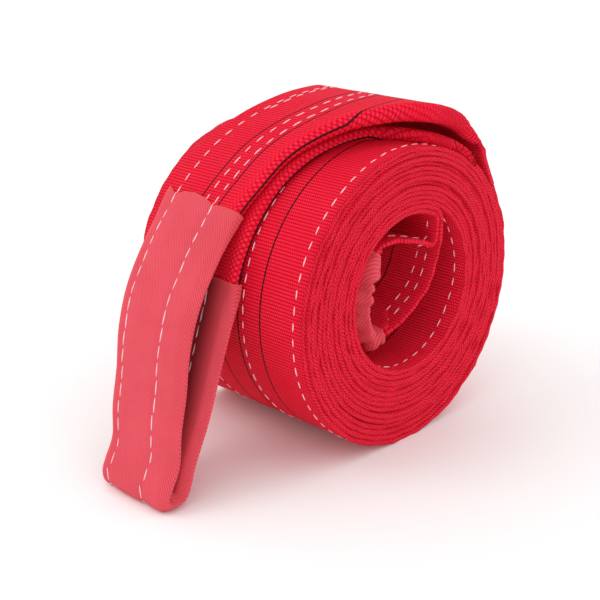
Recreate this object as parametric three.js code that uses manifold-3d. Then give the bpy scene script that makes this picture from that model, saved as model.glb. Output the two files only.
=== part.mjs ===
// Rolled flat lifting sling with two reinforced eyes, in millimetres, +Z up.
// X is the axis of the roll, -Y is the side where the free eye hangs down, the floor is Z = 0.
import * as THREE from 'three';
import * as BufferGeometryUtils from 'three/addons/utils/BufferGeometryUtils.js';
import Module from 'manifold-3d';

const wasm = await Module();
wasm.setup();

// Webbing: two plies sewn face to face
const webWidth = 150;
const webThickness = 7.2;

// Roll
const boreRadius = 53;
const turnCount = 6.3;
const tailAngle = 65;
const rollSag = 0.982;
const boreLift = 4;
const rollSteps = 72;
const boreSteps = 40;
const grooveStepsPerTurn = 28;

// Line between the turns on both ends of the roll
const grooveWidth = 1.6;
const grooveDepth = 2.2;

// Eye legs: one ply each, folded to half its width
const legWidth = 67;
const legThickness = 7.2;
const legFirstLift = 0.2;
const legPuffThickness = 12;
const legPuffGap = 4;

// Free eye, as it hangs in front of the roll
const eyeReach = 76;
const eyeTipShift = 15;
const eyeTopShift = -17;
const tipGap = 6;
const tipLean = 22;

// Eye sleeves
const sleeveWall = 1.1;
const sleeveClearance = 0.3;

// Left between pieces of webbing that touch
const meetingGap = 0.3;

// Steps along the bent straps
const legSteps = 34;
const tipSteps = 8;
const innerSteps = 40;
const strapSides = 8;
const strapCorner = 0.42;

const degrees = Math.PI / 180;
const rollRadius = boreRadius + turnCount * webThickness;
const outerRadius = rollRadius + webThickness;

// Radius of the outer face of the last turn, at an angle counted on from the tail
function lastTurnRadius(angle) {
  const back = ((angle - tailAngle) % 360 + 360) % 360;
  return rollRadius + webThickness * back / 360;
}

const rollHeight = lastTurnRadius(270) * rollSag;

// A point of the roll's section: the bore sits a little above the middle of the roll
function rollPoint(angle, radius) {
  const inward = THREE.MathUtils.clamp((rollRadius - radius) / (rollRadius - boreRadius), 0, 1);
  const y = radius * Math.cos(angle * degrees);
  const z = rollHeight + boreLift * inward + radius * Math.sin(angle * degrees) * rollSag;
  return new THREE.Vector2(y, z);
}

function toSolid(geometry) {
  const bare = new THREE.BufferGeometry();
  bare.setAttribute('position', geometry.getAttribute('position').clone());
  if (geometry.index) {
    bare.setIndex(geometry.index.clone());
  }
  const merged = BufferGeometryUtils.mergeVertices(bare, 1e-4);
  return new wasm.Manifold(new wasm.Mesh({
    numProp: 3,
    vertProperties: new Float32Array(merged.getAttribute('position').array),
    triVerts: new Uint32Array(merged.index.array),
  }));
}

function toMesh(name, solid, color, roughness) {
  const result = solid.getMesh();
  const geometry = new THREE.BufferGeometry();
  geometry.setAttribute('position', new THREE.BufferAttribute(new Float32Array(result.vertProperties), 3));
  geometry.setIndex(new THREE.BufferAttribute(new Uint32Array(result.triVerts), 1));
  geometry.computeVertexNormals();
  const mesh = new THREE.Mesh(geometry, new THREE.MeshStandardMaterial({ color, roughness, metalness: 0 }));
  mesh.name = name;
  return mesh;
}

// Outline drawn in Y and Z, extruded along the roll's axis
function extrudeAlongX(outline, hole, width) {
  const shape = new THREE.Shape(outline);
  if (hole) {
    shape.holes.push(new THREE.Path(hole));
  }
  const geometry = new THREE.ExtrudeGeometry(shape, { depth: width, bevelEnabled: false });
  const axes = new THREE.Matrix4().makeBasis(
    new THREE.Vector3(0, 1, 0),
    new THREE.Vector3(0, 0, 1),
    new THREE.Vector3(1, 0, 0),
  );
  geometry.applyMatrix4(axes);
  geometry.translate(-width / 2, 0, 0);
  return toSolid(geometry);
}

// A strap is a cylinder reshaped: stations give its middle, its outward normal and its section
function reshape(stations, sides, sectionPoint) {
  const steps = stations.length - 1;
  const geometry = new THREE.CylinderGeometry(1, 1, 1, sides, steps, false);
  const position = geometry.getAttribute('position');
  for (let i = 0; i < position.count; i += 1) {
    const x = position.getX(i);
    const z = position.getZ(i);
    const station = stations[Math.round((0.5 + position.getY(i)) * steps)];
    const around = (Math.round(Math.atan2(x, z) / (2 * Math.PI) * sides) + sides) % sides;
    const onSkin = Math.hypot(x, z) > 0.5 ? 1 : 0;
    const [across, out] = sectionPoint(around, station);
    position.setXYZ(
      i,
      station.x + across * onSkin,
      station.y + station.normal.x * out * onSkin,
      station.z + station.normal.y * out * onSkin,
    );
  }
  return toSolid(geometry);
}

// Rectangle with cut corners, grown by the same amount on all sides
function strapSection(grow) {
  return (around, station) => {
    const halfWidth = station.width / 2 + grow;
    const halfThickness = station.thickness / 2 + grow;
    const corner = halfThickness * 2 * strapCorner;
    const quarter = [
      [halfWidth, halfThickness - corner],
      [halfWidth - corner, halfThickness],
      [-halfWidth + corner, halfThickness],
      [-halfWidth, halfThickness - corner],
    ];
    const point = quarter[around % 4];
    return around < 4 ? point : [-point[0], -point[1]];
  };
}

// Smooth stations through a few named places, each {y, z, x, width, thickness}
function stationsThrough(places, steps) {
  const route = new THREE.CatmullRomCurve3(places.map((p) => new THREE.Vector3(p.x, p.y, p.z)), false, 'centripetal');
  const size = new THREE.CatmullRomCurve3(
    places.map((p) => new THREE.Vector3(p.width, p.thickness, 0)),
    false,
    'catmullrom',
    0.3,
  );
  const stations = [];
  for (let i = 0; i <= steps; i += 1) {
    const at = i / steps;
    const place = route.getPoint(at);
    const { x: width, y: thickness } = size.getPoint(at);
    stations.push({ x: place.x, y: place.y, z: place.z, width, thickness });
  }
  return stations;
}

function addNormals(stations) {
  stations.forEach((station, i) => {
    const before = stations[Math.max(i - 1, 0)];
    const after = stations[Math.min(i + 1, stations.length - 1)];
    const along = new THREE.Vector2(after.y - before.y, after.z - before.z).normalize();
    station.normal = new THREE.Vector2(along.y, -along.x);
  });
  return stations;
}

// Roll, grown by the same amount outwards and into its bore

function makeRoll(grow) {
  const outline = [];
  for (let i = 0; i < rollSteps; i += 1) {
    const angle = tailAngle + 0.01 + 360 * i / rollSteps;
    outline.push(rollPoint(angle, lastTurnRadius(angle) + grow));
  }
  const hole = [];
  for (let i = 0; i < boreSteps; i += 1) {
    hole.push(rollPoint(-360 * i / boreSteps, boreRadius - grow));
  }
  return extrudeAlongX(outline, hole, webWidth + 2 * grow);
}

// Three-sided groove that follows the line between two turns
function makeGroove(face) {
  const edge = face * webWidth / 2;
  const stations = [];
  const steps = Math.round((turnCount - 1) * grooveStepsPerTurn);
  for (let i = 0; i <= steps; i += 1) {
    const turned = 1 + (turnCount - 1) * i / steps;
    const angle = tailAngle - 360 * (turnCount - turned);
    const radius = boreRadius + webThickness * turned;
    const middle = rollPoint(angle, radius);
    const wider = rollPoint(angle, radius + 1);
    stations.push({
      x: edge,
      y: middle.x,
      z: middle.y,
      normal: new THREE.Vector2(wider.x - middle.x, wider.y - middle.y).normalize(),
    });
  }
  const over = grooveDepth / 4;
  const section = [
    [-grooveDepth * face, 0],
    [over * face, -grooveWidth / 2 * 1.25 * face],
    [over * face, grooveWidth / 2 * 1.25 * face],
  ];
  return reshape(stations, 3, (around) => section[around]);
}

// Free eye: over the top of the roll, down in front, round the tip and back up under itself

function overRoll(angle, lift, thickness, left, right) {
  const place = rollPoint(angle, lastTurnRadius(angle > tailAngle ? angle : angle + 360) + lift + thickness / 2);
  return { y: place.x, z: place.y, x: (left + right) / 2, width: right - left, thickness };
}

const tipLegPitch = legThickness + 2 * (sleeveClearance + sleeveWall) + tipGap;
const tipRadius = tipLegPitch / 2;
const tipMiddle = new THREE.Vector2(
  -(outerRadius + eyeReach) + legThickness / 2 + tipRadius,
  legThickness / 2 + sleeveClearance + sleeveWall + tipRadius,
);

// A place on the round of the tip, at an angle in the section
function tipPlace(angle) {
  return {
    y: tipMiddle.x + tipRadius * Math.cos(angle * degrees),
    z: tipMiddle.y + tipRadius * Math.sin(angle * degrees),
    x: eyeTipShift,
    width: legWidth,
    thickness: legThickness,
  };
}

function makeFreeEyeStations() {
  const half = webWidth / 2;
  const topLeft = eyeTopShift - legWidth / 2;
  const topRight = eyeTopShift + legWidth / 2;
  const upperLift = legThickness + legPuffGap;
  const tipFront = tipPlace(180 - tipLean);
  const tipBack = tipPlace(360 - tipLean);
  const upper = [
    { ...overRoll(395, -webThickness, webThickness, -half, half) },
    { ...overRoll(408, -webThickness * 0.4, webThickness * 1.2, -half, half) },
    { ...overRoll(tailAngle - 3, upperLift * 0.6, legPuffThickness * 0.9, -half * 0.88, half - 2) },
    { ...overRoll(78, upperLift + 3, legPuffThickness, -half * 0.4, half - 3) },
    { ...overRoll(91, upperLift + 2.5, legPuffThickness * 0.9, topLeft + 25, topRight + 44) },
    { ...overRoll(106, upperLift + 1, legPuffThickness * 0.75, topLeft + 18, topRight + 26) },
    { ...overRoll(121, upperLift - 2, legThickness, topLeft + 6, topRight + 10) },
    { ...overRoll(135, upperLift - 3, legThickness, topLeft + 2, topRight + 5) },
  ];
  const takeOff = overRoll(147, upperLift - 2, legThickness, topLeft, topRight);
  upper.push(takeOff);
  // How far forward the front leg is, at shares of its fall to the tip
  const frontFall = [[0.19, 0.33], [0.33, 0.52], [0.48, 0.65], [0.65, 0.74], [0.79, 0.82], [0.92, 0.93]];
  frontFall.forEach(([fall, forward]) => {
    upper.push({
      y: THREE.MathUtils.lerp(takeOff.y, tipFront.y, forward),
      z: THREE.MathUtils.lerp(takeOff.z, tipFront.z, fall),
      x: THREE.MathUtils.lerp(eyeTopShift, eyeTipShift, fall),
      width: legWidth,
      thickness: legThickness,
    });
  });
  upper.push(tipFront);

  const tip = [];
  for (let i = 1; i < tipSteps; i += 1) {
    tip.push(tipPlace(180 - tipLean + 180 * i / tipSteps));
  }

  const underSleeve = sleeveClearance * 2 + sleeveWall;
  const touchDown = overRoll(166, underSleeve, legThickness, topLeft + 7, topRight + 7);
  const lower = [tipBack];
  const backRise = [[0.1, 0.14], [0.29, 0.32], [0.51, 0.54], [0.75, 0.79], [0.92, 0.95]];
  backRise.forEach(([rise, backward]) => {
    lower.push({
      y: THREE.MathUtils.lerp(tipBack.y, touchDown.y, backward),
      z: THREE.MathUtils.lerp(tipBack.z, touchDown.z, rise),
      x: THREE.MathUtils.lerp(eyeTipShift, touchDown.x, rise),
      width: legWidth,
      thickness: legThickness,
    });
  });
  lower.push(touchDown);
  lower.push(
    { ...overRoll(151, -legFirstLift, legThickness, topLeft + 5, topRight + 7) },
    { ...overRoll(134, -legFirstLift, legThickness, topLeft + 4, topRight + 9) },
    { ...overRoll(118, -legFirstLift, legThickness, topLeft + 7, topRight + 13) },
    { ...overRoll(104, -legFirstLift, legThickness, topLeft + 12, topRight + 19) },
    { ...overRoll(90, -legFirstLift, legThickness * 1.1, topLeft + 18, topRight + 28) },
    { ...overRoll(77, -legFirstLift, legThickness * 1.15, topLeft + 20, topRight + 46) },
    { ...overRoll(tailAngle - 3, -webThickness * 0.9, webThickness, -half * 0.88, half - 2) },
    { ...overRoll(410, -webThickness, webThickness * 0.95, -half, half) },
  );
  const front = stationsThrough(upper, legSteps);
  const back = stationsThrough(lower, legSteps);
  return addNormals([...front, ...tip, ...back]);
}

// Eye that is left inside the bore: a loose loop of the same legs, places taken from the bore's middle

function makeInnerEyeStations() {
  const middle = rollPoint(0, boreRadius);
  const reach = boreRadius / 53;
  const places = [
    [27, 50, 0, 146],
    [35, 33, 2, 138],
    [38, 16, 8, 120],
    [31, -4, 18, 98],
    [14, -20, 24, 82],
    [-8, -32, 20, legWidth],
    [-27, -36, 14, legWidth],
    [-40, -24, 10, legWidth],
    [-44.5, -7, 8, legWidth],
    [-43, 9, 8, legWidth],
    [-35, 22, 10, legWidth],
    [-20, 27, 16, legWidth],
    [0, 27, 24, 78],
    [14, 30, 22, 92],
    [20, 41, 10, 122],
    [14, 54, 0, 140],
  ].map(([y, up, x, width]) => ({
    y: y * reach,
    z: middle.y + up * reach,
    x,
    width,
    thickness: legThickness,
  }));
  return addNormals(stationsThrough(places, innerSteps));
}

function halfWay(a, b) {
  return {
    x: (a.x + b.x) / 2,
    y: (a.y + b.y) / 2,
    z: (a.z + b.z) / 2,
    width: (a.width + b.width) / 2,
    thickness: (a.thickness + b.thickness) / 2,
    normal: new THREE.Vector2().addVectors(a.normal, b.normal).normalize(),
  };
}

// Nearest station to a height on one of the legs
function stationAtHeight(stations, first, last, height) {
  let best = first;
  for (let i = first; i <= last; i += 1) {
    if (Math.abs(stations[i].z - height) < Math.abs(stations[best].z - height)) {
      best = i;
    }
  }
  return best;
}

// Hollow cover on a stretch of a strap, open at both ends
function makeSleeve(stations, from, to) {
  const covered = [
    halfWay(stations[from - 1], stations[from]),
    ...stations.slice(from, to + 1),
    halfWay(stations[to], stations[to + 1]),
  ];
  const outside = reshape(covered, strapSides, strapSection(sleeveClearance + sleeveWall));
  const inside = reshape(stations.slice(from - 1, to + 2), strapSides, strapSection(sleeveClearance));
  return outside.subtract(inside);
}

const freeEye = makeFreeEyeStations();
const innerEye = makeInnerEyeStations();

// The legs of both eyes come out of the roll, and are cut off where they meet it
const aroundRoll = makeRoll(meetingGap);
const roll = makeRoll(0).subtract(makeGroove(1)).subtract(makeGroove(-1));
const freeLegs = reshape(freeEye, strapSides, strapSection(0)).subtract(aroundRoll);
const innerLegs = reshape(innerEye, strapSides, strapSection(0)).subtract(aroundRoll);

const sleeveTop = rollPoint(143, outerRadius).y;
const sleeveBackTop = rollPoint(168, outerRadius).y;
const firstFront = Math.round(legSteps / 2);
const lastBack = legSteps + tipSteps + Math.round(legSteps * 0.6);
const frontEnd = stationAtHeight(freeEye, firstFront, legSteps, sleeveTop);
const backEnd = stationAtHeight(freeEye, legSteps + tipSteps, lastBack, sleeveBackTop);
const freeSleeve = makeSleeve(freeEye, frontEnd, backEnd);

const innerFirst = Math.round(innerSteps * 0.36);
const innerLast = Math.round(innerSteps * 0.76);
const innerSleeve = makeSleeve(innerEye, innerFirst, innerLast);

// The origin is the middle of the space that the sling takes up on the floor
const space = [roll, freeLegs, freeSleeve].map((solid) => solid.boundingBox());
const nearest = Math.min(...space.map((box) => box.min[1]));
const farthest = Math.max(...space.map((box) => box.max[1]));

const webRed = 0xd8142f;
const sleeveRed = 0xee5468;

const sling = new THREE.Group();
sling.position.y = -(nearest + farthest) / 2;
sling.add(toMesh('webbing_roll', roll, webRed, 0.8));
sling.add(toMesh('webbing_free_eye', freeLegs, webRed, 0.8));
sling.add(toMesh('webbing_inner_eye', innerLegs, webRed, 0.8));
sling.add(toMesh('outer_eye_sleeve', freeSleeve, sleeveRed, 0.9));
sling.add(toMesh('inner_eye_sleeve', innerSleeve, sleeveRed, 0.9));

export default sling;
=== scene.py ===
import math

import bpy
import numpy as np
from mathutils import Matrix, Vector


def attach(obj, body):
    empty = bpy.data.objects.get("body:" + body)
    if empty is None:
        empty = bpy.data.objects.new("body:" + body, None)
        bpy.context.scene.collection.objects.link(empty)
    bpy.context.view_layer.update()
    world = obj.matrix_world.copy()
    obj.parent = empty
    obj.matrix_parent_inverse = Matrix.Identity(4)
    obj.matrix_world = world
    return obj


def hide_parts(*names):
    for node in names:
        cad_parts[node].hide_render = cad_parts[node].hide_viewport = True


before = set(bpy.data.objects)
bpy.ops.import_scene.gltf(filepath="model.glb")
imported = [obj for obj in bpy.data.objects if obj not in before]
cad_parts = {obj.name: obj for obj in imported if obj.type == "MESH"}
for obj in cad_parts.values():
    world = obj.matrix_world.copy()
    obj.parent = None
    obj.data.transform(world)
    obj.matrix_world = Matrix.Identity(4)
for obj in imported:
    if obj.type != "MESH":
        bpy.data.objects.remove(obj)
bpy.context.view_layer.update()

# All lengths below are millimetres, and become metres when a mesh is made
mm = 0.001
rollAxisY = 39.35   # the roll sits behind the middle of the object, the free eye in front of it

webbing = {
    "width": 150.0,
    "plyThickness": 3.3,      # the strap is two plies, sewn face to face
    "turnPitch": 6.83,
    "innerRadius": 50.5,
    "innerAngle": 62.0,
    "sag": 0.982,             # the roll is a little flattened by its own weight
    "outerPlyEnds": 6.925,    # turns, where the plies leave as the legs of the free eye
    "innerPlyEnds": 6.967,
    "stepAlong": 1.6,
    "edgeWander": 0.8,
    "edgeBulge": 0.26,
    "edgeLump": 0.42,
    "edgeWave": 0.35,
}

cadRoll = {
    "boreRadius": 53.0,
    "turnThickness": 7.2,
    "rollRadius": 98.36,
    "tailAngle": 65.0,
    "boreLift": 4.0,
}


def lastTurnRadius(angle):
    back = np.mod(np.asarray(angle, float) - cadRoll["tailAngle"], 360)
    return cadRoll["rollRadius"] + cadRoll["turnThickness"] * back / 360


rollHeight = float(lastTurnRadius(270)) * webbing["sag"]
boreHeight = rollHeight + cadRoll["boreLift"]


def rollPoint(angle, radius):
    turn = np.radians(angle)
    inward = np.clip((cadRoll["rollRadius"] - radius) / (cadRoll["rollRadius"] - cadRoll["boreRadius"]), 0, 1)
    y = radius * np.cos(turn)
    z = rollHeight + cadRoll["boreLift"] * inward + radius * np.sin(turn) * webbing["sag"]
    return y, z


# Finishes

def calc(tree, operation, *values):
    node = tree.nodes.new("ShaderNodeMath")
    node.operation = operation
    for socket, value in zip(node.inputs, values):
        if isinstance(value, (int, float)):
            socket.default_value = value
        else:
            tree.links.new(value, socket)
    return node.outputs[0]


def blendColours(tree, share, first, second):
    node = tree.nodes.new("ShaderNodeMix")
    node.data_type = "RGBA"
    for socket, value in ((node.inputs["Factor"], share), (node.inputs[6], first), (node.inputs[7], second)):
        if isinstance(value, (int, float)):
            socket.default_value = value
        elif isinstance(value, tuple):
            socket.default_value = (*value, 1)
        else:
            tree.links.new(value, socket)
    return node.outputs[2]


def blendNumbers(tree, share, first, second):
    return calc(tree, "ADD", calc(tree, "MULTIPLY", first, calc(tree, "SUBTRACT", 1.0, share)),
                calc(tree, "MULTIPLY", second, share))


def ridges(tree, value):
    return calc(tree, "ABSOLUTE", calc(tree, "SINE", calc(tree, "MULTIPLY", value, math.pi)))


def newFinish(name, roughness, sheen, gloss):
    finish = bpy.data.materials.new(name)
    finish.use_nodes = True
    shader = finish.node_tree.nodes["Principled BSDF"]
    shader.inputs["Roughness"].default_value = roughness
    shader.inputs["Sheen Weight"].default_value = sheen
    shader.inputs["Sheen Roughness"].default_value = 0.45
    shader.inputs["Specular IOR Level"].default_value = gloss
    return finish, finish.node_tree, shader


def clothPlace(tree):
    place = tree.nodes.new("ShaderNodeUVMap")
    place.uv_map = "clothPlace"
    split = tree.nodes.new("ShaderNodeSeparateXYZ")
    tree.links.new(place.outputs[0], split.inputs[0])
    return place.outputs[0], split.outputs[0], split.outputs[1]


def clothNoise(tree, vector, scale, detail):
    node = tree.nodes.new("ShaderNodeTexNoise")
    node.inputs["Scale"].default_value = scale
    node.inputs["Detail"].default_value = detail
    tree.links.new(vector, node.inputs["Vector"])
    return node.outputs["Fac"]


def clothNumber(tree, name):
    node = tree.nodes.new("ShaderNodeAttribute")
    node.attribute_name = name
    return node.outputs["Fac"]


def addBump(tree, shader, height, strength, distance):
    bump = tree.nodes.new("ShaderNodeBump")
    bump.inputs["Strength"].default_value = strength
    bump.inputs["Distance"].default_value = distance
    tree.links.new(height, bump.inputs["Height"])
    tree.links.new(bump.outputs["Normal"], shader.inputs["Normal"])


weave = {
    "floatWidth": 1.7,
    "ribPitch": 2.1,
    "foldLattice": 3.6,
    "edgeLoop": 2.7,
    "edgeLean": 1.5,
    "edgeWobble": 1.6,
    "edgeRounding": 1.7,
    "lineSpacing": 19.5,
    "lineHalfWidth": 0.58,
    # dark and light are painted shade in the weave's valleys and a painted sheen highlight on its float tops;
    # edgeDark and edgeLight do the same for the selvedge loops
    "dark": (0.36, 0.0004, 0.008),
    "middle": (0.82, 0.0040, 0.030),
    "light": (0.95, 0.052, 0.090),
    "edgeDark": (0.40, 0.0003, 0.008),
    "edgeLight": (0.98, 0.022, 0.060),
    "line": (0.022, 0.006, 0.010),
}


def makeWebbingFinish():
    finish, tree, shader = newFinish("wovenWebbing", 0.7, 0.0, 0.07)
    vector, across, along = clothPlace(tree)
    slow = clothNoise(tree, vector, 0.035, 3)
    fine = clothNoise(tree, vector, 0.9, 2)

    # Cross ribs of short floats side by side, each second rib half a float further on
    rib = calc(tree, "DIVIDE", along, weave["ribPitch"])
    step = calc(tree, "MODULO", calc(tree, "ABSOLUTE", calc(tree, "FLOOR", rib)), 2.0)
    column = calc(tree, "ADD", calc(tree, "DIVIDE", across, weave["floatWidth"]),
                  calc(tree, "MULTIPLY", step, 0.5))
    ribRound, floatRound = ridges(tree, rib), ridges(tree, column)
    ribHeight = calc(tree, "MULTIPLY", calc(tree, "POWER", ribRound, 0.7), calc(tree, "POWER", floatRound, 0.4))

    # Folded edge: the weave opens into a coarse slanting lattice
    leftLean = calc(tree, "DIVIDE", calc(tree, "ADD", across, along), weave["foldLattice"])
    rightLean = calc(tree, "DIVIDE", calc(tree, "SUBTRACT", across, along), weave["foldLattice"])
    lattice = calc(tree, "MULTIPLY", ridges(tree, leftLean), ridges(tree, rightLean))
    foldShare = clothNumber(tree, "foldShare")
    faceHeight = blendNumbers(tree, foldShare, ribHeight, calc(tree, "POWER", lattice, 0.5))

    # Selvedge: a chain of loops that lean towards the middle of each turn
    through = calc(tree, "POWER", calc(tree, "ABSOLUTE", clothNumber(tree, "throughPly")), 2.0)
    lean = calc(tree, "ADD", calc(tree, "DIVIDE", along, weave["edgeLoop"]),
                calc(tree, "MULTIPLY", clothNumber(tree, "bandPlace"), weave["edgeLean"]))
    loops = ridges(tree, calc(tree, "ADD", lean, calc(tree, "MULTIPLY", fine, weave["edgeWobble"])))
    rounded = calc(tree, "SUBTRACT", 1.0, calc(tree, "MULTIPLY", through, weave["edgeRounding"]))
    edgeHeight = calc(tree, "MULTIPLY", calc(tree, "POWER", loops, 0.7), rounded)
    fromMiddle = calc(tree, "ABSOLUTE", calc(tree, "SUBTRACT", across, webbing["width"] / 2))
    edgeShare = calc(tree, "GREATER_THAN", fromMiddle, webbing["width"] / 2 - 0.4)
    height = blendNumbers(tree, edgeShare, faceHeight, edgeHeight)

    # Painted shade and sheen: the face darkens in the valleys between floats and lightens on their tops, following
    # the weave relief, with random tone from slow noise
    faceColour = blendColours(tree, calc(tree, "MINIMUM", calc(tree, "MULTIPLY", faceHeight, 2.0), 1.0),
                              weave["dark"], weave["middle"])
    tops = calc(tree, "POWER", faceHeight, 4.0)
    paintedSheenShare = calc(tree, "MULTIPLY", tops, calc(tree, "ADD", slow, 0.1))
    faceColour = blendColours(tree, paintedSheenShare, faceColour, weave["light"])

    # Black marker lines run in the weave, broken a little by the ribs
    spot = calc(tree, "DIVIDE", calc(tree, "SUBTRACT", across, webbing["width"] / 2), weave["lineSpacing"])
    offLine = calc(tree, "ABSOLUTE", calc(tree, "SUBTRACT", spot, calc(tree, "ROUND", spot)))
    wander = calc(tree, "MULTIPLY", calc(tree, "SUBTRACT", fine, 0.5), 0.012)
    halfLine = weave["lineHalfWidth"] / weave["lineSpacing"]
    onLine = calc(tree, "LESS_THAN", calc(tree, "ADD", offLine, wander), halfLine)
    inside = calc(tree, "LESS_THAN", fromMiddle, weave["lineSpacing"] * 2.3)
    shown = calc(tree, "GREATER_THAN", calc(tree, "ADD", ribRound, fine), 0.55)
    strength = calc(tree, "ADD", calc(tree, "MULTIPLY", shown, 0.55), 0.4)
    lineShare = calc(tree, "MULTIPLY", calc(tree, "MULTIPLY", onLine, inside), strength)
    lineShare = calc(tree, "MULTIPLY", lineShare, calc(tree, "SUBTRACT", 1.0, clothNumber(tree, "lineFade")))
    faceColour = blendColours(tree, lineShare, faceColour, weave["line"])
    # Painted shade between the selvedge loops and towards each ply's faces, painted highlight on the loop tops,
    # varied by noise
    edgeColour = blendColours(tree, calc(tree, "MULTIPLY", edgeHeight, calc(tree, "ADD", fine, 0.45)),
                              weave["edgeDark"], weave["edgeLight"])
    colour = blendColours(tree, edgeShare, faceColour, edgeColour)
    tree.links.new(colour, shader.inputs["Base Color"])
    addBump(tree, shader, height, 0.75, 0.0006)
    return finish


sleeveCloth = {
    "twillPitch": 1.25,
    "threadPitch": 0.9,
    # light and dark are a painted highlight on the twill ridges and painted shade in its grooves
    "light": (0.88, 0.105, 0.140),
    "dark": (0.50, 0.020, 0.036),
    # painted shade for the faces towards the gap between the legs
    "gapShade": (0.24, 0.002, 0.010),
    "cutEdge": (0.86, 0.10, 0.09),
    "cutWidth": 0.6,
}


def makeSleeveFinish():
    finish, tree, shader = newFinish("twillSleeve", 0.85, 0.05, 0.12)
    vector, across, along = clothPlace(tree)
    slow = clothNoise(tree, vector, 0.03, 3)
    fine = clothNoise(tree, vector, 1.4, 2)
    slant = calc(tree, "ADD", calc(tree, "MULTIPLY", across, 0.85), calc(tree, "MULTIPLY", along, -0.5))
    ridge = ridges(tree, calc(tree, "DIVIDE", slant, sleeveCloth["twillPitch"]))
    thread = ridges(tree, calc(tree, "DIVIDE", along, sleeveCloth["threadPitch"]))
    height = calc(tree, "MULTIPLY", calc(tree, "POWER", ridge, 0.6),
                  calc(tree, "ADD", calc(tree, "MULTIPLY", thread, 0.3), 0.7))
    # The twill is painted darker in its grooves and lighter on its ridges, painted shade and highlight on the
    # relief, with random tone from noise
    share = calc(tree, "ADD", calc(tree, "MULTIPLY", height, 0.6),
                 calc(tree, "ADD", calc(tree, "MULTIPLY", slow, 0.45), calc(tree, "MULTIPLY", fine, 0.15)))
    colour = blendColours(tree, calc(tree, "MINIMUM", share, 1.0), sleeveCloth["dark"], sleeveCloth["light"])
    # Painted shade: faces towards the gap between the legs are darkened towards the gap shade colour
    gapShadeShare = calc(tree, "MULTIPLY", clothNumber(tree, "paintedGapShade"), 0.75)
    colour = blendColours(tree, gapShadeShare, colour, sleeveCloth["gapShade"])
    nearCut = calc(tree, "LESS_THAN", clothNumber(tree, "fromEnd"), sleeveCloth["cutWidth"])
    colour = blendColours(tree, nearCut, colour, sleeveCloth["cutEdge"])
    tree.links.new(colour, shader.inputs["Base Color"])
    addBump(tree, shader, height, 0.9, 0.0004)
    return finish


def makeThreadFinish():
    finish, tree, shader = newFinish("sewingThread", 0.7, 0.2, 0.3)
    place = tree.nodes.new("ShaderNodeTexCoord")
    vector = place.outputs["Object"]
    twist = clothNoise(tree, vector, 1800, 2)
    colour = blendColours(tree, twist, (0.80, 0.42, 0.50), (0.94, 0.76, 0.81))
    tree.links.new(colour, shader.inputs["Base Color"])
    addBump(tree, shader, twist, 0.4, 0.0002)
    return finish


webbingFinish = makeWebbingFinish()
sleeveFinish = makeSleeveFinish()
threadFinish = makeThreadFinish()
print("finishes ready")


# Mesh helpers

def sweptMesh(name, parts, finish):
    gathered = {"faces": [], "points": [], "across": [], "along": []}
    numbers = {}
    start = 0
    for part in parts:
        stations, ring = part["grid"].shape[:2]
        index = np.arange(stations * ring).reshape(stations, ring) + start
        nextRound = np.roll(index, -1, axis=1)
        near = np.arange(ring // 2 - 1)
        far = ring - 1 - near
        sides = np.stack([index[:-1], nextRound[:-1], nextRound[1:], index[1:]], axis=-1).reshape(-1, 4)
        firstCap = np.stack([index[0, near], index[0, far], index[0, far - 1], index[0, near + 1]], axis=-1)
        lastCap = np.stack([index[-1, near], index[-1, near + 1], index[-1, far - 1], index[-1, far]], axis=-1)
        gathered["faces"] += [sides, firstCap, lastCap]
        gathered["points"].append(part["grid"].reshape(-1, 3))
        gathered["across"].append(part["across"].reshape(-1))
        gathered["along"].append(part["along"].reshape(-1))
        for key, value in part["numbers"].items():
            numbers.setdefault(key, []).append(value.reshape(-1))
        start += stations * ring
    whole = {key: np.concatenate(pieces) for key, pieces in gathered.items()}
    return meshFromArrays(name, whole["points"], whole["faces"], whole["across"], whole["along"],
                          {key: np.concatenate(pieces) for key, pieces in numbers.items()}, finish)


def meshFromArrays(name, points, faces, across, along, numbers, finish):
    placed = points.copy()
    placed[:, 1] += rollAxisY
    placed *= mm
    corner = placed[faces]
    volume = 0.0
    for a, b, c in ((0, 1, 2), (0, 2, 3)):
        volume += np.einsum("ij,ij->", corner[:, a], np.cross(corner[:, b], corner[:, c]))
    if volume < 0:
        faces = faces[:, ::-1]
    mesh = bpy.data.meshes.new(name)
    mesh.vertices.add(len(placed))
    mesh.vertices.foreach_set("co", placed.ravel())
    mesh.loops.add(faces.size)
    mesh.loops.foreach_set("vertex_index", faces.ravel().astype(np.int32))
    mesh.polygons.add(len(faces))
    mesh.polygons.foreach_set("loop_start", np.arange(0, faces.size, 4, dtype=np.int32))
    mesh.update(calc_edges=True)
    layer = mesh.uv_layers.new(name="clothPlace")
    layer.data.foreach_set("uv", np.stack([across, along], axis=-1)[faces.ravel()].ravel())
    for key, value in numbers.items():
        mesh.attributes.new(key, "FLOAT", "POINT").data.foreach_set("value", value)
    mesh.polygons.foreach_set("use_smooth", np.ones(len(faces), dtype=bool))
    mesh.materials.append(finish)
    mesh.validate()
    thing = bpy.data.objects.new(name, mesh)
    bpy.context.scene.collection.objects.link(thing)
    return thing


def settle(thing, slotName, *nodes):
    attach(thing, "root")
    if nodes:
        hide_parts(*nodes)


def softNoise(where, seed, waves=5, low=0.6, high=1.6):
    chance = np.random.default_rng(seed)
    total = 0
    for _ in range(waves):
        turn = sum(chance.normal(0, 1) * chance.uniform(low, high) * part for part in where)
        total = total + np.sin(turn + chance.uniform(0, 2 * math.pi))
    return total / math.sqrt(waves)


# The roll

def spiralRadius(turn):
    return webbing["innerRadius"] + webbing["turnPitch"] * turn


def lengthAtTurn(turn):
    return 2 * math.pi * (webbing["innerRadius"] * turn + webbing["turnPitch"] * turn * turn / 2)


def outlineOfPly(edge):
    ringAcross = np.array([a for a, _ in edge] + [a for a, _ in reversed(edge)])
    ringThrough = np.array([t for _, t in edge] + [-t for _, t in reversed(edge)])
    return ringAcross, ringThrough


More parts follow.
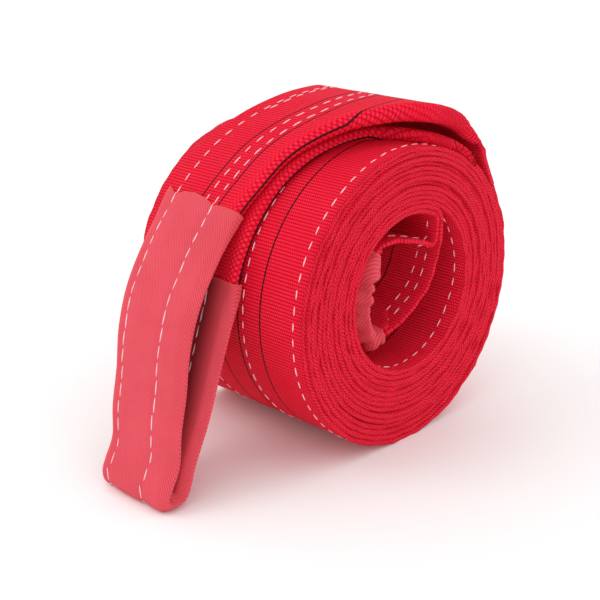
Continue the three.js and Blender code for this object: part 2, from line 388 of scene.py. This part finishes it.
def makeRollPly(offset, lastTurn, seed):
    averageRadius = (webbing["innerRadius"] + cadRoll["rollRadius"]) / 2 + 2
    steps = int(2 * math.pi * averageRadius * lastTurn / webbing["stepAlong"])
    # Even steps along the web, so more of them in an outer turn
    share = np.linspace(0, 1, steps + 1)
    fineTurn = np.linspace(0, lastTurn, 4000)
    turn = np.interp(share * lengthAtTurn(lastTurn), lengthAtTurn(fineTurn), fineTurn)
    along = lengthAtTurn(turn)
    angle = webbing["innerAngle"] + 360 * turn

    ply = webbing["plyThickness"]
    width = webbing["width"]
    edge = [(0, 0.12), (0, 0.34), (0, 0.5), (9, 0.5), (width / 2, 0.5), (width - 9, 0.5), (width, 0.5),
            (width, 0.34), (width, 0.12)]
    ringAcross, ringThrough = outlineOfPly(edge)
    isEdge = (ringAcross == 0) | (ringAcross == width)
    bulge = np.where(isEdge, webbing["edgeBulge"] * (1 - (2 * ringThrough) ** 2), 0)
    side = np.sign(ringAcross - width / 2)

    alongGrid = np.repeat(along[:, None], len(ringAcross), axis=1)
    acrossGrid = np.repeat(ringAcross[None, :], len(along), axis=0).astype(float)
    throughGrid = np.repeat(ringThrough[None, :], len(along), axis=0)
    atEdge = np.abs(side[None, :]) * isEdge[None, :]
    # The edges pull in a little, wander sideways and are lumpy where the loops turn
    lump = softNoise((alongGrid / 2.4, throughGrid * 3), seed, 5) * webbing["edgeLump"]
    wander = softNoise((along[:, None] / 60, side[None, :] * 2.0), seed + 1, 4) * webbing["edgeWander"]
    x = acrossGrid - width / 2 + side[None, :] * (bulge[None, :] + lump * atEdge) + wander * atEdge
    squeeze = np.where(atEdge > 0, 1.02, 1.0)
    windings = (np.radians(angle)[:, None] * 3, turn[:, None] * 0.5 + side[None, :])
    wavy = softNoise(windings, 11, 5) * webbing["edgeWave"] * atEdge
    radius = spiralRadius(turn)[:, None] + offset + wavy + throughGrid * ply * squeeze
    y, z = rollPoint(angle[:, None], radius)
    band = np.abs(2 * (offset + throughGrid * ply) / webbing["turnPitch"] - 1)
    return {"grid": np.stack([x, y, z], axis=-1), "across": acrossGrid, "along": alongGrid,
            "numbers": {"throughPly": throughGrid, "bandPlace": band}}


quarter = webbing["turnPitch"] / 4
roll = sweptMesh("webbingRoll", [
    makeRollPly(quarter, webbing["innerPlyEnds"], 21),
    makeRollPly(quarter * 3, webbing["outerPlyEnds"], 33),
], webbingFinish)
settle(roll, "webbing", "webbing_roll")
print("roll wound", len(roll.data.polygons), "faces")


# Paths of the eyes

def curveThrough(places, steps, centripetal):
    places = np.asarray(places, float)
    padded = np.vstack([2 * places[0] - places[1], places, 2 * places[-1] - places[-2]])
    at = np.linspace(0, len(places) - 1, steps + 1)
    piece = np.minimum(at.astype(int), len(places) - 2)
    share = (at - piece)[:, None]
    p0, p1, p2, p3 = (padded[piece + k] for k in range(4))
    if centripetal:
        d0, d1, d2 = (np.maximum(np.linalg.norm(b - a, axis=1) ** 0.5, 1e-4)[:, None]
                      for a, b in ((p0, p1), (p1, p2), (p2, p3)))
        t1 = ((p1 - p0) / d0 - (p2 - p0) / (d0 + d1) + (p2 - p1) / d1) * d1
        t2 = ((p2 - p1) / d1 - (p3 - p1) / (d1 + d2) + (p3 - p2) / d2) * d1
    else:
        t1, t2 = 0.3 * (p2 - p0), 0.3 * (p3 - p1)
    squared, cubed = 3 * p2 - 3 * p1 - 2 * t1 - t2, 2 * p1 - 2 * p2 + t1 + t2
    return p1 + t1 * share + squared * share ** 2 + cubed * share ** 3


def pathThrough(places, steps):
    places = np.asarray(places, float)   # y, z, x, width, thickness
    route = curveThrough(places[:, :3], steps, True)
    size = curveThrough(places[:, 3:], steps, False)
    return np.hstack([route, size])


def finishPath(path, side):
    # side is 1 where the ply folds to its right and outwards, -1 the other way round
    route = path[:, :3]
    length = np.concatenate([[0], np.cumsum(np.linalg.norm(np.diff(route, axis=0), axis=1))])
    slope = np.gradient(route[:, :2], length, axis=0)
    slope /= np.linalg.norm(slope, axis=1)[:, None]
    return {"length": length, "y": path[:, 0], "z": path[:, 1], "x": path[:, 2], "width": path[:, 3],
            "thickness": path[:, 4], "normalY": slope[:, 1], "normalZ": -slope[:, 0], "side": side}


freeEye = {
    "legWidth": 67.0,
    "legThickness": 7.2,
    "topShift": -17.0,
    "tipShift": 9.5,
    "tipWidth": 60.5,
    "steps": 620,
    # over the roll: angle, lift off the last turn, thickness, left and right edge
    "upperLeg": [
        (395, -7.2, 7.2, -75, 75), (408, -2.88, 8.64, -75, 75), (62, 6.72, 10.8, -66, 73),
        (78, 14.2, 12, -30, 72), (91, 13.7, 10.8, -25.5, 60.5), (106, 12.2, 9, -32.5, 42.5),
        (121, 9.2, 7.2, -44.5, 26.5), (135, 8.2, 7.2, -48.5, 21.5),
    ],
    "lowerLeg": [
        (151, -0.2, 7.2, -45.5, 23.5), (134, -0.2, 7.2, -46.5, 25.5), (118, -0.2, 7.2, -43.5, 29.5),
        (104, -0.2, 7.2, -38.5, 35.5), (90, -0.2, 7.92, -32.5, 44.5), (77, -0.2, 8.28, -30.5, 62.5),
        (62, -6.48, 7.2, -66, 73), (410, -7.2, 6.84, -75, 75),
    ],
    "touchDown": (166, 1.7, 7.2, -43.5, 23.5),
    # hanging part: shares of the way down and how far forward, then of the way up and how far back
    "tipFront": (-177.0, 16.0),
    "falling": ((0.19, 0.33), (0.33, 0.52), (0.48, 0.65), (0.65, 0.74), (0.79, 0.83)),
    "rising": ((0.25, 0.28), (0.51, 0.54), (0.75, 0.79), (0.92, 0.95)),
    "tip": [(-175.6, 15.5), (-178.0, 9.0), (-176.2, 5.4), (-171.0, 4.9), (-165.6, 6.0), (-161.6, 11.5)],
    "aboveTip": ((-168.6, 28.0), (-156.2, 24.0)),
    "underSleeve": (0.93, 6.4),
}


def overRoll(angle, lift, thickness, left, right):
    y, z = rollPoint(angle, lastTurnRadius(angle) + lift + thickness / 2)
    return [float(y), float(z), (left + right) / 2, right - left, thickness]


def partWay(start, end, sideways, upwards, shift, width):
    y = start[0] + (end[0] - start[0]) * sideways
    z = start[1] + (end[1] - start[1]) * upwards
    return [y, z, shift, width, freeEye["legThickness"]]


def makeFreeEyePath():
    width, thickness = freeEye["legWidth"], freeEye["legThickness"]
    topShift, tipShift, tipWidth = freeEye["topShift"], freeEye["tipShift"], freeEye["tipWidth"]
    frontStart, backStart = freeEye["aboveTip"]
    upper = [overRoll(*place) for place in freeEye["upperLeg"]]
    takeOff = overRoll(147, 9.2, thickness, topShift - width / 2, topShift + width / 2)
    upper.append(takeOff)
    for fall, forward in freeEye["falling"]:
        upper.append(partWay(takeOff, freeEye["tipFront"], forward, fall, topShift + (tipShift - topShift) * fall,
                             width + (tipWidth - width) * fall))
    upper.append([*frontStart, tipShift - 1, tipWidth, thickness])
    tip = [[y, z, tipShift, tipWidth, thickness] for y, z in freeEye["tip"]]
    touchDown = overRoll(*freeEye["touchDown"])
    lower = [[*backStart, tipShift - 1, tipWidth, thickness]]
    for rise, backward in freeEye["rising"]:
        lower.append(partWay(backStart, touchDown, backward, rise, tipShift + (touchDown[2] - tipShift) * rise,
                             tipWidth + (width - tipWidth) * rise))
    lower.append(touchDown)
    lower += [overRoll(*place) for place in freeEye["lowerLeg"]]
    steps = freeEye["steps"]
    path = finishPath(pathThrough(upper + tip + lower, steps), side=1)
    middle = int(steps * (len(upper) + 2.5) / (len(upper) + len(tip) + len(lower) - 1))
    return path, middle


freePath, tipMiddle = makeFreeEyePath()

outerSleeve = {
    "firstHeight": 162.0,
    "lastHeight": 122.0,
    "clearance": 0.3,
    "wall": 1.1,
    "rows": (11.0, 46.0),
    "crease": 7.0,
    "creaseDepth": 0.66,
    "stitchPitch": 9.9,
    "swell": 0.55,
    "folds": 0.35,
    "pucker": 0.16,
    "crumple": 0.0,
    "seed": 5,
    "steps": 230,
}


def lengthAtHeight(path, height, first, last):
    part = slice(first, last)
    nearest = np.argmin(np.abs(path["z"][part] - height)) + first
    return path["length"][nearest]


def narrowInside(path, first, last):
    share, thickness = freeEye["underSleeve"]
    at = path["length"]
    inside = np.clip((at - first - 8) / 16, 0, 1) * np.clip((last - 8 - at) / 16, 0, 1)
    path["tube"] = np.clip(path["width"] / freeEye["legWidth"], 0.8, 1.06)
    path["width"] = path["width"] * (1 - inside * (1 - share))
    path["thickness"] = path["thickness"] * (1 - inside) + thickness * inside


sleeveBegin = lengthAtHeight(freePath, outerSleeve["firstHeight"], 125, tipMiddle)
sleeveEnd = lengthAtHeight(freePath, outerSleeve["lastHeight"], tipMiddle, tipMiddle + 160)
narrowInside(freePath, sleeveBegin, sleeveEnd)


# Folded legs

def pickAt(path, key, at):
    return np.interp(at, path["length"], path[key])


def foldedPly(path, across, through, at):
    ply, full, side = webbing["plyThickness"], webbing["width"], path["side"]
    width, thickness = pickAt(path, "width", at), pickAt(path, "thickness", at)
    radius = np.maximum((thickness - ply) / 2, 0.05)
    curl = np.clip((full - width) / 8, 0, 1)
    top = width - (radius + ply / 2) * curl
    arc = math.pi * radius
    developed = np.minimum(full, 2 * top + arc - 1.0)
    p = across * developed / full
    turned = np.clip((p - top) / radius, 0, math.pi)
    below = np.clip(p - top - arc, 0, None)
    # The fold is round and full like a rope, the leaves lie closer together beyond it
    nearFold = np.exp(-((p - top - arc / 2) / 7.0) ** 2) * curl
    push = through * ply + nearFold * 0.5 * np.sign(through)
    a = np.minimum(p, top) + radius * np.sin(turned) - below + np.sin(turned) * push
    b = (radius * np.cos(turned) + np.cos(turned) * push) * side
    x = pickAt(path, "x", at) + side * (a - width / 2)
    y = pickAt(path, "y", at) + pickAt(path, "normalY", at) * b
    z = pickAt(path, "z", at) + pickAt(path, "normalZ", at) * b
    return np.stack(np.broadcast_arrays(x, y, z), axis=-1), nearFold


def makeFoldedWeb(name, path, columns, lastLineAcross=math.inf, latticeFrom=math.inf, latticeFade=26):
    width = webbing["width"]
    across = [(width * share, 0.5) for share in np.linspace(0, 1, columns + 1)]
    ringAcross, ringThrough = outlineOfPly([(0, 0.15), (0, 0.38)] + across + [(width, 0.38), (width, 0.15)])
    length = np.repeat(path["length"][:, None], len(ringAcross), axis=1)
    acrossGrid = np.repeat(ringAcross[None, :], len(length), axis=0).astype(float)
    throughGrid = np.repeat(ringThrough[None, :], len(length), axis=0)
    grid, nearFold = foldedPly(path, acrossGrid, throughGrid, length)
    rounded = (1 - (2 * throughGrid) ** 2) * 0.7 * np.where(np.abs(throughGrid) < 0.49, 1, 0)
    grid[:, :, 0] += np.where(acrossGrid == 0, -rounded, 0) * path["side"]
    # Where the leg opens out the lattice gives way to the plain ribs
    foldShare = np.clip(nearFold * 1.6, 0, 1) * np.clip((latticeFrom - path["width"]) / latticeFade, 0, 1)[:, None]
    numbers = {"throughPly": throughGrid, "foldShare": foldShare,
               "lineFade": np.where(acrossGrid > lastLineAcross, 1.0, 0.0)}
    part = {"grid": grid, "across": acrossGrid, "along": length, "numbers": numbers}
    return sweptMesh(name, [part], webbingFinish)


freeWeb = makeFoldedWeb("freeEyeWebbing", freePath, columns=46, lastLineAcross=80, latticeFrom=112)
settle(freeWeb, "webbing", "webbing_free_eye")
print("free eye folded", len(freeWeb.data.polygons), "faces")


# Inner eye: the last of the strap leaves the wall of the bore, bends down and parts into its two legs
innerEye = {
    # places back from the bore's middle, up from it, sideways, then width and thickness
    "outerLeg": [
        (26.1, 48.2, 0, 149, 3.4), (30.0, 42, 0, 149, 3.4), (31.4, 34, 0, 147, 3.4), (32.6, 26, 1, 143, 3.4),
        (34.6, 16, 2, 134, 3.5), (33.5, 5, 6, 122, 3.9), (29, -6, 12, 108, 4.6), (20, -16, 17, 94, 5.4),
        (8, -25, 21, 82, 6.4), (-8, -33, 22, 72, 7.0),
    ],
    "round": [
        (-18, -32.5, 27, 67, 7.2), (-27, -22, 30, 67, 7.2), (-30, -7, 31, 67, 7.2), (-28, 8, 31, 67, 7.2),
        (-24, 19, 29, 67, 7.2),
    ],
    "innerLeg": [
        (-17, 28, 26, 74, 6.4), (-7, 31.5, 22, 88, 5.2), (5, 30.2, 17, 104, 4.2), (16, 27.6, 10, 122, 3.5),
        (24.2, 25.2, 4, 138, 3.4), (27.3, 29.4, 1, 144, 3.4), (27.2, 36, 0, 147, 3.4), (26.2, 41.5, 0, 149, 3.4),
        (24.5, 45.3, 0, 149, 3.4),
    ],
    "steps": 330,
    "sleeveFrom": 0.40,
    "sleeveTo": 0.64,
}
innerPlaces = [[y, boreHeight + up, x, width, thickness] for y, up, x, width, thickness
               in innerEye["outerLeg"] + innerEye["round"] + innerEye["innerLeg"]]
innerPath = finishPath(pathThrough(innerPlaces, innerEye["steps"]), side=-1)
innerBegin = innerPath["length"][int(innerEye["steps"] * innerEye["sleeveFrom"])]
innerEnd = innerPath["length"][int(innerEye["steps"] * innerEye["sleeveTo"])]
narrowInside(innerPath, innerBegin, innerEnd)
innerWeb = makeFoldedWeb("innerEyeWebbing", innerPath, columns=40)
settle(innerWeb, "webbing", "webbing_inner_eye")
print("inner eye folded")


# Sleeves

def ringOfSleeve(halfWidth, halfThickness, corner, count):
    straight = 2 * (halfWidth - corner)
    flank = 2 * (halfThickness - corner)
    arc = math.pi / 2 * corner
    perimeter = 2 * straight + 2 * flank + 4 * arc
    at = (np.arange(count) + 0.5) / count * perimeter
    a, b = np.zeros(count), np.zeros(count)
    na, nb = np.zeros(count), np.zeros(count)
    for i, s in enumerate(at):
        s = s % perimeter
        for cornerA, cornerB, startTurn, run, runA, runB in (
            (-1, 1, math.pi / 2, straight, 1, 0),
            (1, 1, 0, flank, 0, -1),
            (1, -1, -math.pi / 2, straight, -1, 0),
            (-1, -1, -math.pi, flank, 0, 1),
        ):
            cornerX, cornerY = cornerA * (halfWidth - corner), cornerB * (halfThickness - corner)
            if s <= run:
                normal = (math.cos(startTurn), math.sin(startTurn))
                a[i] = cornerX + runA * s + normal[0] * corner
                b[i] = cornerY + runB * s + normal[1] * corner
                na[i], nb[i] = normal
                break
            s -= run
            if s <= arc:
                turn = startTurn - s / corner
                nextX = cornerX + runA * run
                nextY = cornerY + runB * run
                na[i], nb[i] = math.cos(turn), math.sin(turn)
                a[i] = nextX + na[i] * corner
                b[i] = nextY + nb[i] * corner
                break
            s -= arc
    return a, b, na, nb


def endShape(fromLeft):
    known = (0, 4, 9, 11.5, 13.5, 19, 28, 38, 44.5, 47, 49.5, 56, 65, 73)
    rise = (6.5, 5.0, 2.2, 0.0, 2.0, 4.4, 5.2, 3.6, 1.2, 0.0, 1.0, 1.2, 0.6, 0.0)
    return np.interp(fromLeft, known, rise)


def makeSleeve(name, path, first, last, settings, count=112):
    steps, pitch, side = settings["steps"], settings["stitchPitch"], path["side"]
    halfWidth = freeEye["legWidth"] / 2 + settings["clearance"] + settings["wall"] - 0.4
    halfThickness = freeEye["legThickness"] / 2 + settings["clearance"] + settings["wall"]
    a, b, na, nb = ringOfSleeve(halfWidth, halfThickness, 3.4, count)
    # The tube is flat, so its two edges close to a thin crease away from the open ends
    nearCrease = np.clip((np.abs(a) - (halfWidth - settings["crease"])) / settings["crease"], 0, 1)
    nearCrease = nearCrease ** 2 * (3 - 2 * nearCrease)
    fromLeft = a + halfWidth
    begin = (first - endShape(fromLeft))[None, :]
    end = (last + endShape(fromLeft) * 0.7)[None, :]
    share = np.linspace(0, 1, steps + 1)[:, None]
    length = begin * (1 - share) + end * share
    acrossGrid = fromLeft[None, :] + 0 * length
    # Swells between the rows and draws in along them, with a small pucker at each stitch
    draw = np.zeros_like(length)
    for row in settings["rows"]:
        offRow = acrossGrid - row
        draw -= np.exp(-(offRow / 2.6) ** 2) * (0.75 + 0.35 * np.cos(2 * math.pi * length / pitch))
        ripple = np.cos(2 * math.pi * (length + offRow * 0.7) / pitch)
        draw += settings["pucker"] * np.exp(-(offRow / 9) ** 2) * ripple
    firstRow, lastRow = 11.5, 47.0
    swell = settings["swell"] * np.sin(np.clip((acrossGrid - firstRow) / (lastRow - firstRow), 0, 1) * math.pi)
    through = (b / 5)[None, :] + 0 * length
    folds = softNoise((length / 26, acrossGrid / 20, through), settings["seed"], 6) * settings["folds"]
    crush = np.abs(softNoise((length / 5, acrossGrid / 7), settings["seed"] + 5, 7)) * settings["crumple"]
    relief = (draw + swell + folds) * np.abs(nb)[None, :] + crush
    closed = np.clip((length - begin) / 28, 0.25, 1) * np.clip((end - length) / 28, 0.25, 1)
    rings = []
    for lift in (0.0, -settings["wall"]):
        out = relief + lift
        ringA = a[None, :] * pickAt(path, "tube", length) + na[None, :] * out
        ringB = (b[None, :] + nb[None, :] * out) * (1 - settings["creaseDepth"] * nearCrease[None, :] * closed)
        x = pickAt(path, "x", length) + ringA
        y = pickAt(path, "y", length) + pickAt(path, "normalY", length) * ringB * side
        z = pickAt(path, "z", length) + pickAt(path, "normalZ", length) * ringB * side
        rings.append(np.stack([x, y, z], axis=-1))
    stations = steps + 1
    points = np.concatenate([ring.reshape(-1, 3) for ring in rings])
    index = np.arange(stations * count).reshape(stations, count)
    after = np.roll(index, -1, axis=1)
    shift = stations * count
    faces = np.concatenate([
        np.stack([index[:-1], after[:-1], after[1:], index[1:]], axis=-1).reshape(-1, 4),
        np.stack([index[:-1], index[1:], after[1:], after[:-1]], axis=-1).reshape(-1, 4) + shift,
        np.stack([index[0], index[0] + shift, after[0] + shift, after[0]], axis=-1),
        np.stack([index[-1], after[-1], after[-1] + shift, index[-1] + shift], axis=-1),
    ])
    fromEnd = np.minimum(length - begin, end - length)
    # Painted shade: where the tube faces the gap between the legs its colour is darkened, but for a strip along
    # its right edge
    gapShade = np.clip(-nb, 0, 1) * np.clip((2 * halfWidth - 9 - fromLeft) / 12, 0, 1)
    gapShadeGrid = np.repeat(gapShade[None, :], stations, axis=0)
    bothSkins = {"fromEnd": np.tile(fromEnd.reshape(-1), 2), "paintedGapShade": np.tile(gapShadeGrid.reshape(-1), 2)}
    thing = meshFromArrays(name, points, faces, np.tile(acrossGrid.reshape(-1), 2), np.tile(length.reshape(-1), 2),
                           bothSkins, sleeveFinish)
    return thing, {"skin": rings[0], "fromLeft": fromLeft, "b": b}


outerCover, outerShape = makeSleeve("outerEyeSleeve", freePath, sleeveBegin, sleeveEnd, outerSleeve)
settle(outerCover, "sleeve", "outer_eye_sleeve")

innerSleeve = {**outerSleeve, "crumple": 2.6, "seed": 9, "steps": 150}
innerCover, innerShape = makeSleeve("innerEyeSleeve", innerPath, innerBegin, innerEnd, innerSleeve)
settle(innerCover, "sleeve", "inner_eye_sleeve")
print("sleeves sewn")


# Stitches, by geometry nodes

stitch = {
    "pitch": 9.9,
    "length": 6.2,
    "threadWidth": 0.85,
    "sleevePitch": 10.4,
    "sleeveLength": 9.6,
    "sleeveWidth": 0.95,
    "seed": 4,
}


def buildStitchTree():
    tree = bpy.data.node_groups.new("sewnStitches", "GeometryNodeTree")
    sockets = tree.interface
    sockets.new_socket("Rows", in_out="INPUT", socket_type="NodeSocketGeometry")
    for name in ("Stitch pitch", "Stitch length", "Thread width"):
        sockets.new_socket(name, in_out="INPUT", socket_type="NodeSocketFloat")
    sockets.new_socket("Seed", in_out="INPUT", socket_type="NodeSocketInt")
    sockets.new_socket("Thread", in_out="INPUT", socket_type="NodeSocketMaterial")
    sockets.new_socket("Stitches", in_out="OUTPUT", socket_type="NodeSocketGeometry")
    nodes, links = tree.nodes, tree.links
    inlet, outlet = nodes.new("NodeGroupInput"), nodes.new("NodeGroupOutput")
    toCurve = nodes.new("GeometryNodeMeshToCurve")
    spaced = nodes.new("GeometryNodeResampleCurve")
    spaced.mode = "LENGTH"
    links.new(inlet.outputs["Rows"], toCurve.inputs["Mesh"])
    links.new(toCurve.outputs["Curve"], spaced.inputs["Curve"])
    links.new(inlet.outputs["Stitch pitch"], spaced.inputs["Length"])
    bead = nodes.new("GeometryNodeMeshUVSphere")
    bead.inputs["Segments"].default_value = 8
    bead.inputs["Rings"].default_value = 7
    bead.inputs["Radius"].default_value = 0.5
    size = nodes.new("ShaderNodeCombineXYZ")
    links.new(inlet.outputs["Thread width"], size.inputs[0])
    links.new(inlet.outputs["Thread width"], size.inputs[1])
    links.new(inlet.outputs["Stitch length"], size.inputs[2])
    stretch = nodes.new("GeometryNodeTransform")
    links.new(bead.outputs["Mesh"], stretch.inputs["Geometry"])
    links.new(size.outputs[0], stretch.inputs["Scale"])
    tangent = nodes.new("GeometryNodeInputTangent")
    turn = nodes.new("FunctionNodeAlignRotationToVector")
    turn.axis = "Z"
    links.new(tangent.outputs[0], turn.inputs["Vector"])
    jitter = nodes.new("FunctionNodeRandomValue")
    jitter.data_type = "FLOAT_VECTOR"
    jitter.inputs[0].default_value = (-0.05, -0.05, 0)
    jitter.inputs[1].default_value = (0.05, 0.05, 0)
    links.new(inlet.outputs["Seed"], jitter.inputs["Seed"])
    rotate = nodes.new("FunctionNodeRotateRotation")
    rotate.rotation_space = "LOCAL"
    links.new(turn.outputs[0], rotate.inputs[0])
    links.new(jitter.outputs[0], rotate.inputs[1])
    vary = nodes.new("FunctionNodeRandomValue")
    vary.data_type = "FLOAT"
    vary.inputs[2].default_value = 0.86
    vary.inputs[3].default_value = 1.08
    links.new(inlet.outputs["Seed"], vary.inputs["Seed"])
    place = nodes.new("GeometryNodeInstanceOnPoints")
    links.new(spaced.outputs["Curve"], place.inputs["Points"])
    links.new(stretch.outputs["Geometry"], place.inputs["Instance"])
    links.new(rotate.outputs[0], place.inputs["Rotation"])
    links.new(vary.outputs[1], place.inputs["Scale"])
    whole = nodes.new("GeometryNodeRealizeInstances")
    paint = nodes.new("GeometryNodeSetMaterial")
    smooth = nodes.new("GeometryNodeSetShadeSmooth")
    links.new(place.outputs["Instances"], whole.inputs["Geometry"])
    links.new(whole.outputs["Geometry"], smooth.inputs["Geometry"])
    links.new(smooth.outputs["Geometry"], paint.inputs["Geometry"])
    links.new(inlet.outputs["Thread"], paint.inputs["Material"])
    links.new(paint.outputs["Geometry"], outlet.inputs["Stitches"])
    return tree


stitchTree = buildStitchTree()


def sewRows(name, rows, pitch, length, width):
    points, edges = [], []
    for row in rows:
        start = len(points)
        placed = np.array(row, float)
        placed[:, 1] += rollAxisY
        points += [tuple(p) for p in placed * mm]
        edges += [(start + i, start + i + 1) for i in range(len(row) - 1)]
    lines = bpy.data.meshes.new(name + "Rows")
    lines.from_pydata(points, edges, [])
    guide = bpy.data.objects.new(name + "Rows", lines)
    bpy.context.scene.collection.objects.link(guide)
    modifier = guide.modifiers.new("stitches", "NODES")
    modifier.node_group = stitchTree
    inputs = {item.name: item.identifier for item in stitchTree.interface.items_tree if item.in_out == "INPUT"}
    modifier[inputs["Stitch pitch"]] = pitch * mm
    modifier[inputs["Stitch length"]] = length * mm
    modifier[inputs["Thread width"]] = width * mm
    modifier[inputs["Seed"]] = stitch["seed"]
    modifier[inputs["Thread"]] = threadFinish
    graph = bpy.context.evaluated_depsgraph_get()
    mesh = bpy.data.meshes.new_from_object(guide.evaluated_get(graph))
    guide.modifiers.clear()
    bpy.data.objects.remove(guide)
    thing = bpy.data.objects.new(name, mesh)
    mesh.name = name
    bpy.context.scene.collection.objects.link(thing)
    settle(thing, "white_thread")
    return thing


def rollRow(across, fromTurn, toTurn, radiusOffset):
    turn = np.linspace(fromTurn, toTurn, int((toTurn - fromTurn) * 220))
    y, z = rollPoint(webbing["innerAngle"] + 360 * turn, spiralRadius(turn) + radiusOffset)
    return np.stack([across - webbing["width"] / 2 + 0.25 * np.sin(turn * 40), y, z], axis=-1)


def legRow(path, across, first, last, through, sway=0.3):
    length = np.arange(first, last, 1.5)
    surface, _ = foldedPly(path, across + sway * np.sin(length / 13), np.full(len(length), through), length)
    return surface


bodyRows = (14, 56, 99, 142)
outsideRows = [rollRow(across, 5.95, 6.93, webbing["turnPitch"] + 0.05) for across in bodyRows]
boreRows = [rollRow(across, 0.02, 1.0, -0.05) for across in bodyRows]
sewRows("rollStitches", outsideRows + boreRows, stitch["pitch"], stitch["length"], stitch["threadWidth"])

outOfPly = 0.5 + 0.12 / webbing["plyThickness"]
freeLast, innerLast = freePath["length"][-1], innerPath["length"][-1]
legRows = [legRow(freePath, across, 30, sleeveBegin + 6, outOfPly) for across in (11.5, 42, 51.5)]
legRows += [legRow(freePath, 14.5, 60, 150, outOfPly)]
legRows += [legRow(freePath, across, sleeveEnd - 6, freeLast - 30, outOfPly) for across in (11.5, 42, 51.5)]
sewRows("legStitches", legRows, stitch["pitch"], stitch["length"], stitch["threadWidth"])

innerRows = [legRow(innerPath, across, 6, innerBegin + 8, -outOfPly) for across in (8, 15.5)]
innerRows += [legRow(innerPath, 7, innerEnd - 8, innerLast - 6, through) for through in (-outOfPly, outOfPly)]
sewRows("innerLegStitches", innerRows, stitch["pitch"], stitch["length"], stitch["threadWidth"])


def sleeveRow(shape, row, front):
    candidates = np.where(shape["b"] > 0 if front else shape["b"] < 0)[0]
    nearest = candidates[np.argmin(np.abs(shape["fromLeft"][candidates] - row))]
    line = shape["skin"][2:-2, nearest].copy()
    line[:, 0] += 0.35 * np.sin(np.arange(len(line)) / 4.2) + row - shape["fromLeft"][nearest]
    return line


sewn = (("sleeveStitches", outerShape, (True, False)), ("innerSleeveStitches", innerShape, (True,)))
for name, shape, faces in sewn:
    rows = [sleeveRow(shape, row, front) for row in outerSleeve["rows"] for front in faces]
    sewRows(name, rows, stitch["sleevePitch"], stitch["sleeveLength"], stitch["sleeveWidth"])
print("stitches sewn")


# Floor, light and camera

studio = {
    "floorSize": 12.0,
    "floorShade": 0.96,
    "worldStrength": 1.06,
    "keyPower": 6.0,
    "lens": 72.0,
    "azimuth": 44.0,
    "elevation": 20.0,
    "cameraPlace": (528.0, -532.25, 362.3),
}

bpy.ops.mesh.primitive_plane_add(size=studio["floorSize"])
floor = bpy.context.object
floor.name = "floor"
floorFinish, floorTree, floorShader = newFinish("paleFloor", 0.9, 0.0, 0.1)
floorShader.inputs["Base Color"].default_value = (studio["floorShade"],) * 3 + (1,)
floor.data.materials.append(floorFinish)

world = bpy.data.worlds.new("studio")
bpy.context.scene.world = world
world.use_nodes = True
world.node_tree.nodes["Background"].inputs[0].default_value = (1, 1, 1, 1)
world.node_tree.nodes["Background"].inputs[1].default_value = studio["worldStrength"]


def addSoftLight(name, place, size, power, aim=(0, 0, 0.1)):
    lamp = bpy.data.lights.new(name, "AREA")
    lamp.shape = "DISK"
    lamp.size = size
    lamp.energy = power
    thing = bpy.data.objects.new(name, lamp)
    thing.location = place
    thing.rotation_euler = (Vector(aim) - Vector(place)).to_track_quat("-Z", "Y").to_euler()
    bpy.context.scene.collection.objects.link(thing)


addSoftLight("keyLight", (-0.7, -1.1, 1.5), 1.0, studio["keyPower"])

azimuth, elevation = math.radians(studio["azimuth"]), math.radians(studio["elevation"])
level = math.cos(elevation)
back = Vector((math.sin(azimuth) * level, -math.cos(azimuth) * level, math.sin(elevation)))
lens = bpy.data.cameras.new("photoCamera")
lens.lens = studio["lens"]
lens.sensor_width = 36.0
lens.clip_start = 0.01
camera = bpy.data.objects.new("photoCamera", lens)
camera.location = Vector(studio["cameraPlace"]) * mm
camera.rotation_mode = "QUATERNION"
camera.rotation_quaternion = (-back).to_track_quat("-Z", "Y")
bpy.context.scene.collection.objects.link(camera)
bpy.context.scene.camera = camera
bpy.context.scene.view_settings.view_transform = "Standard"
print("studio set")
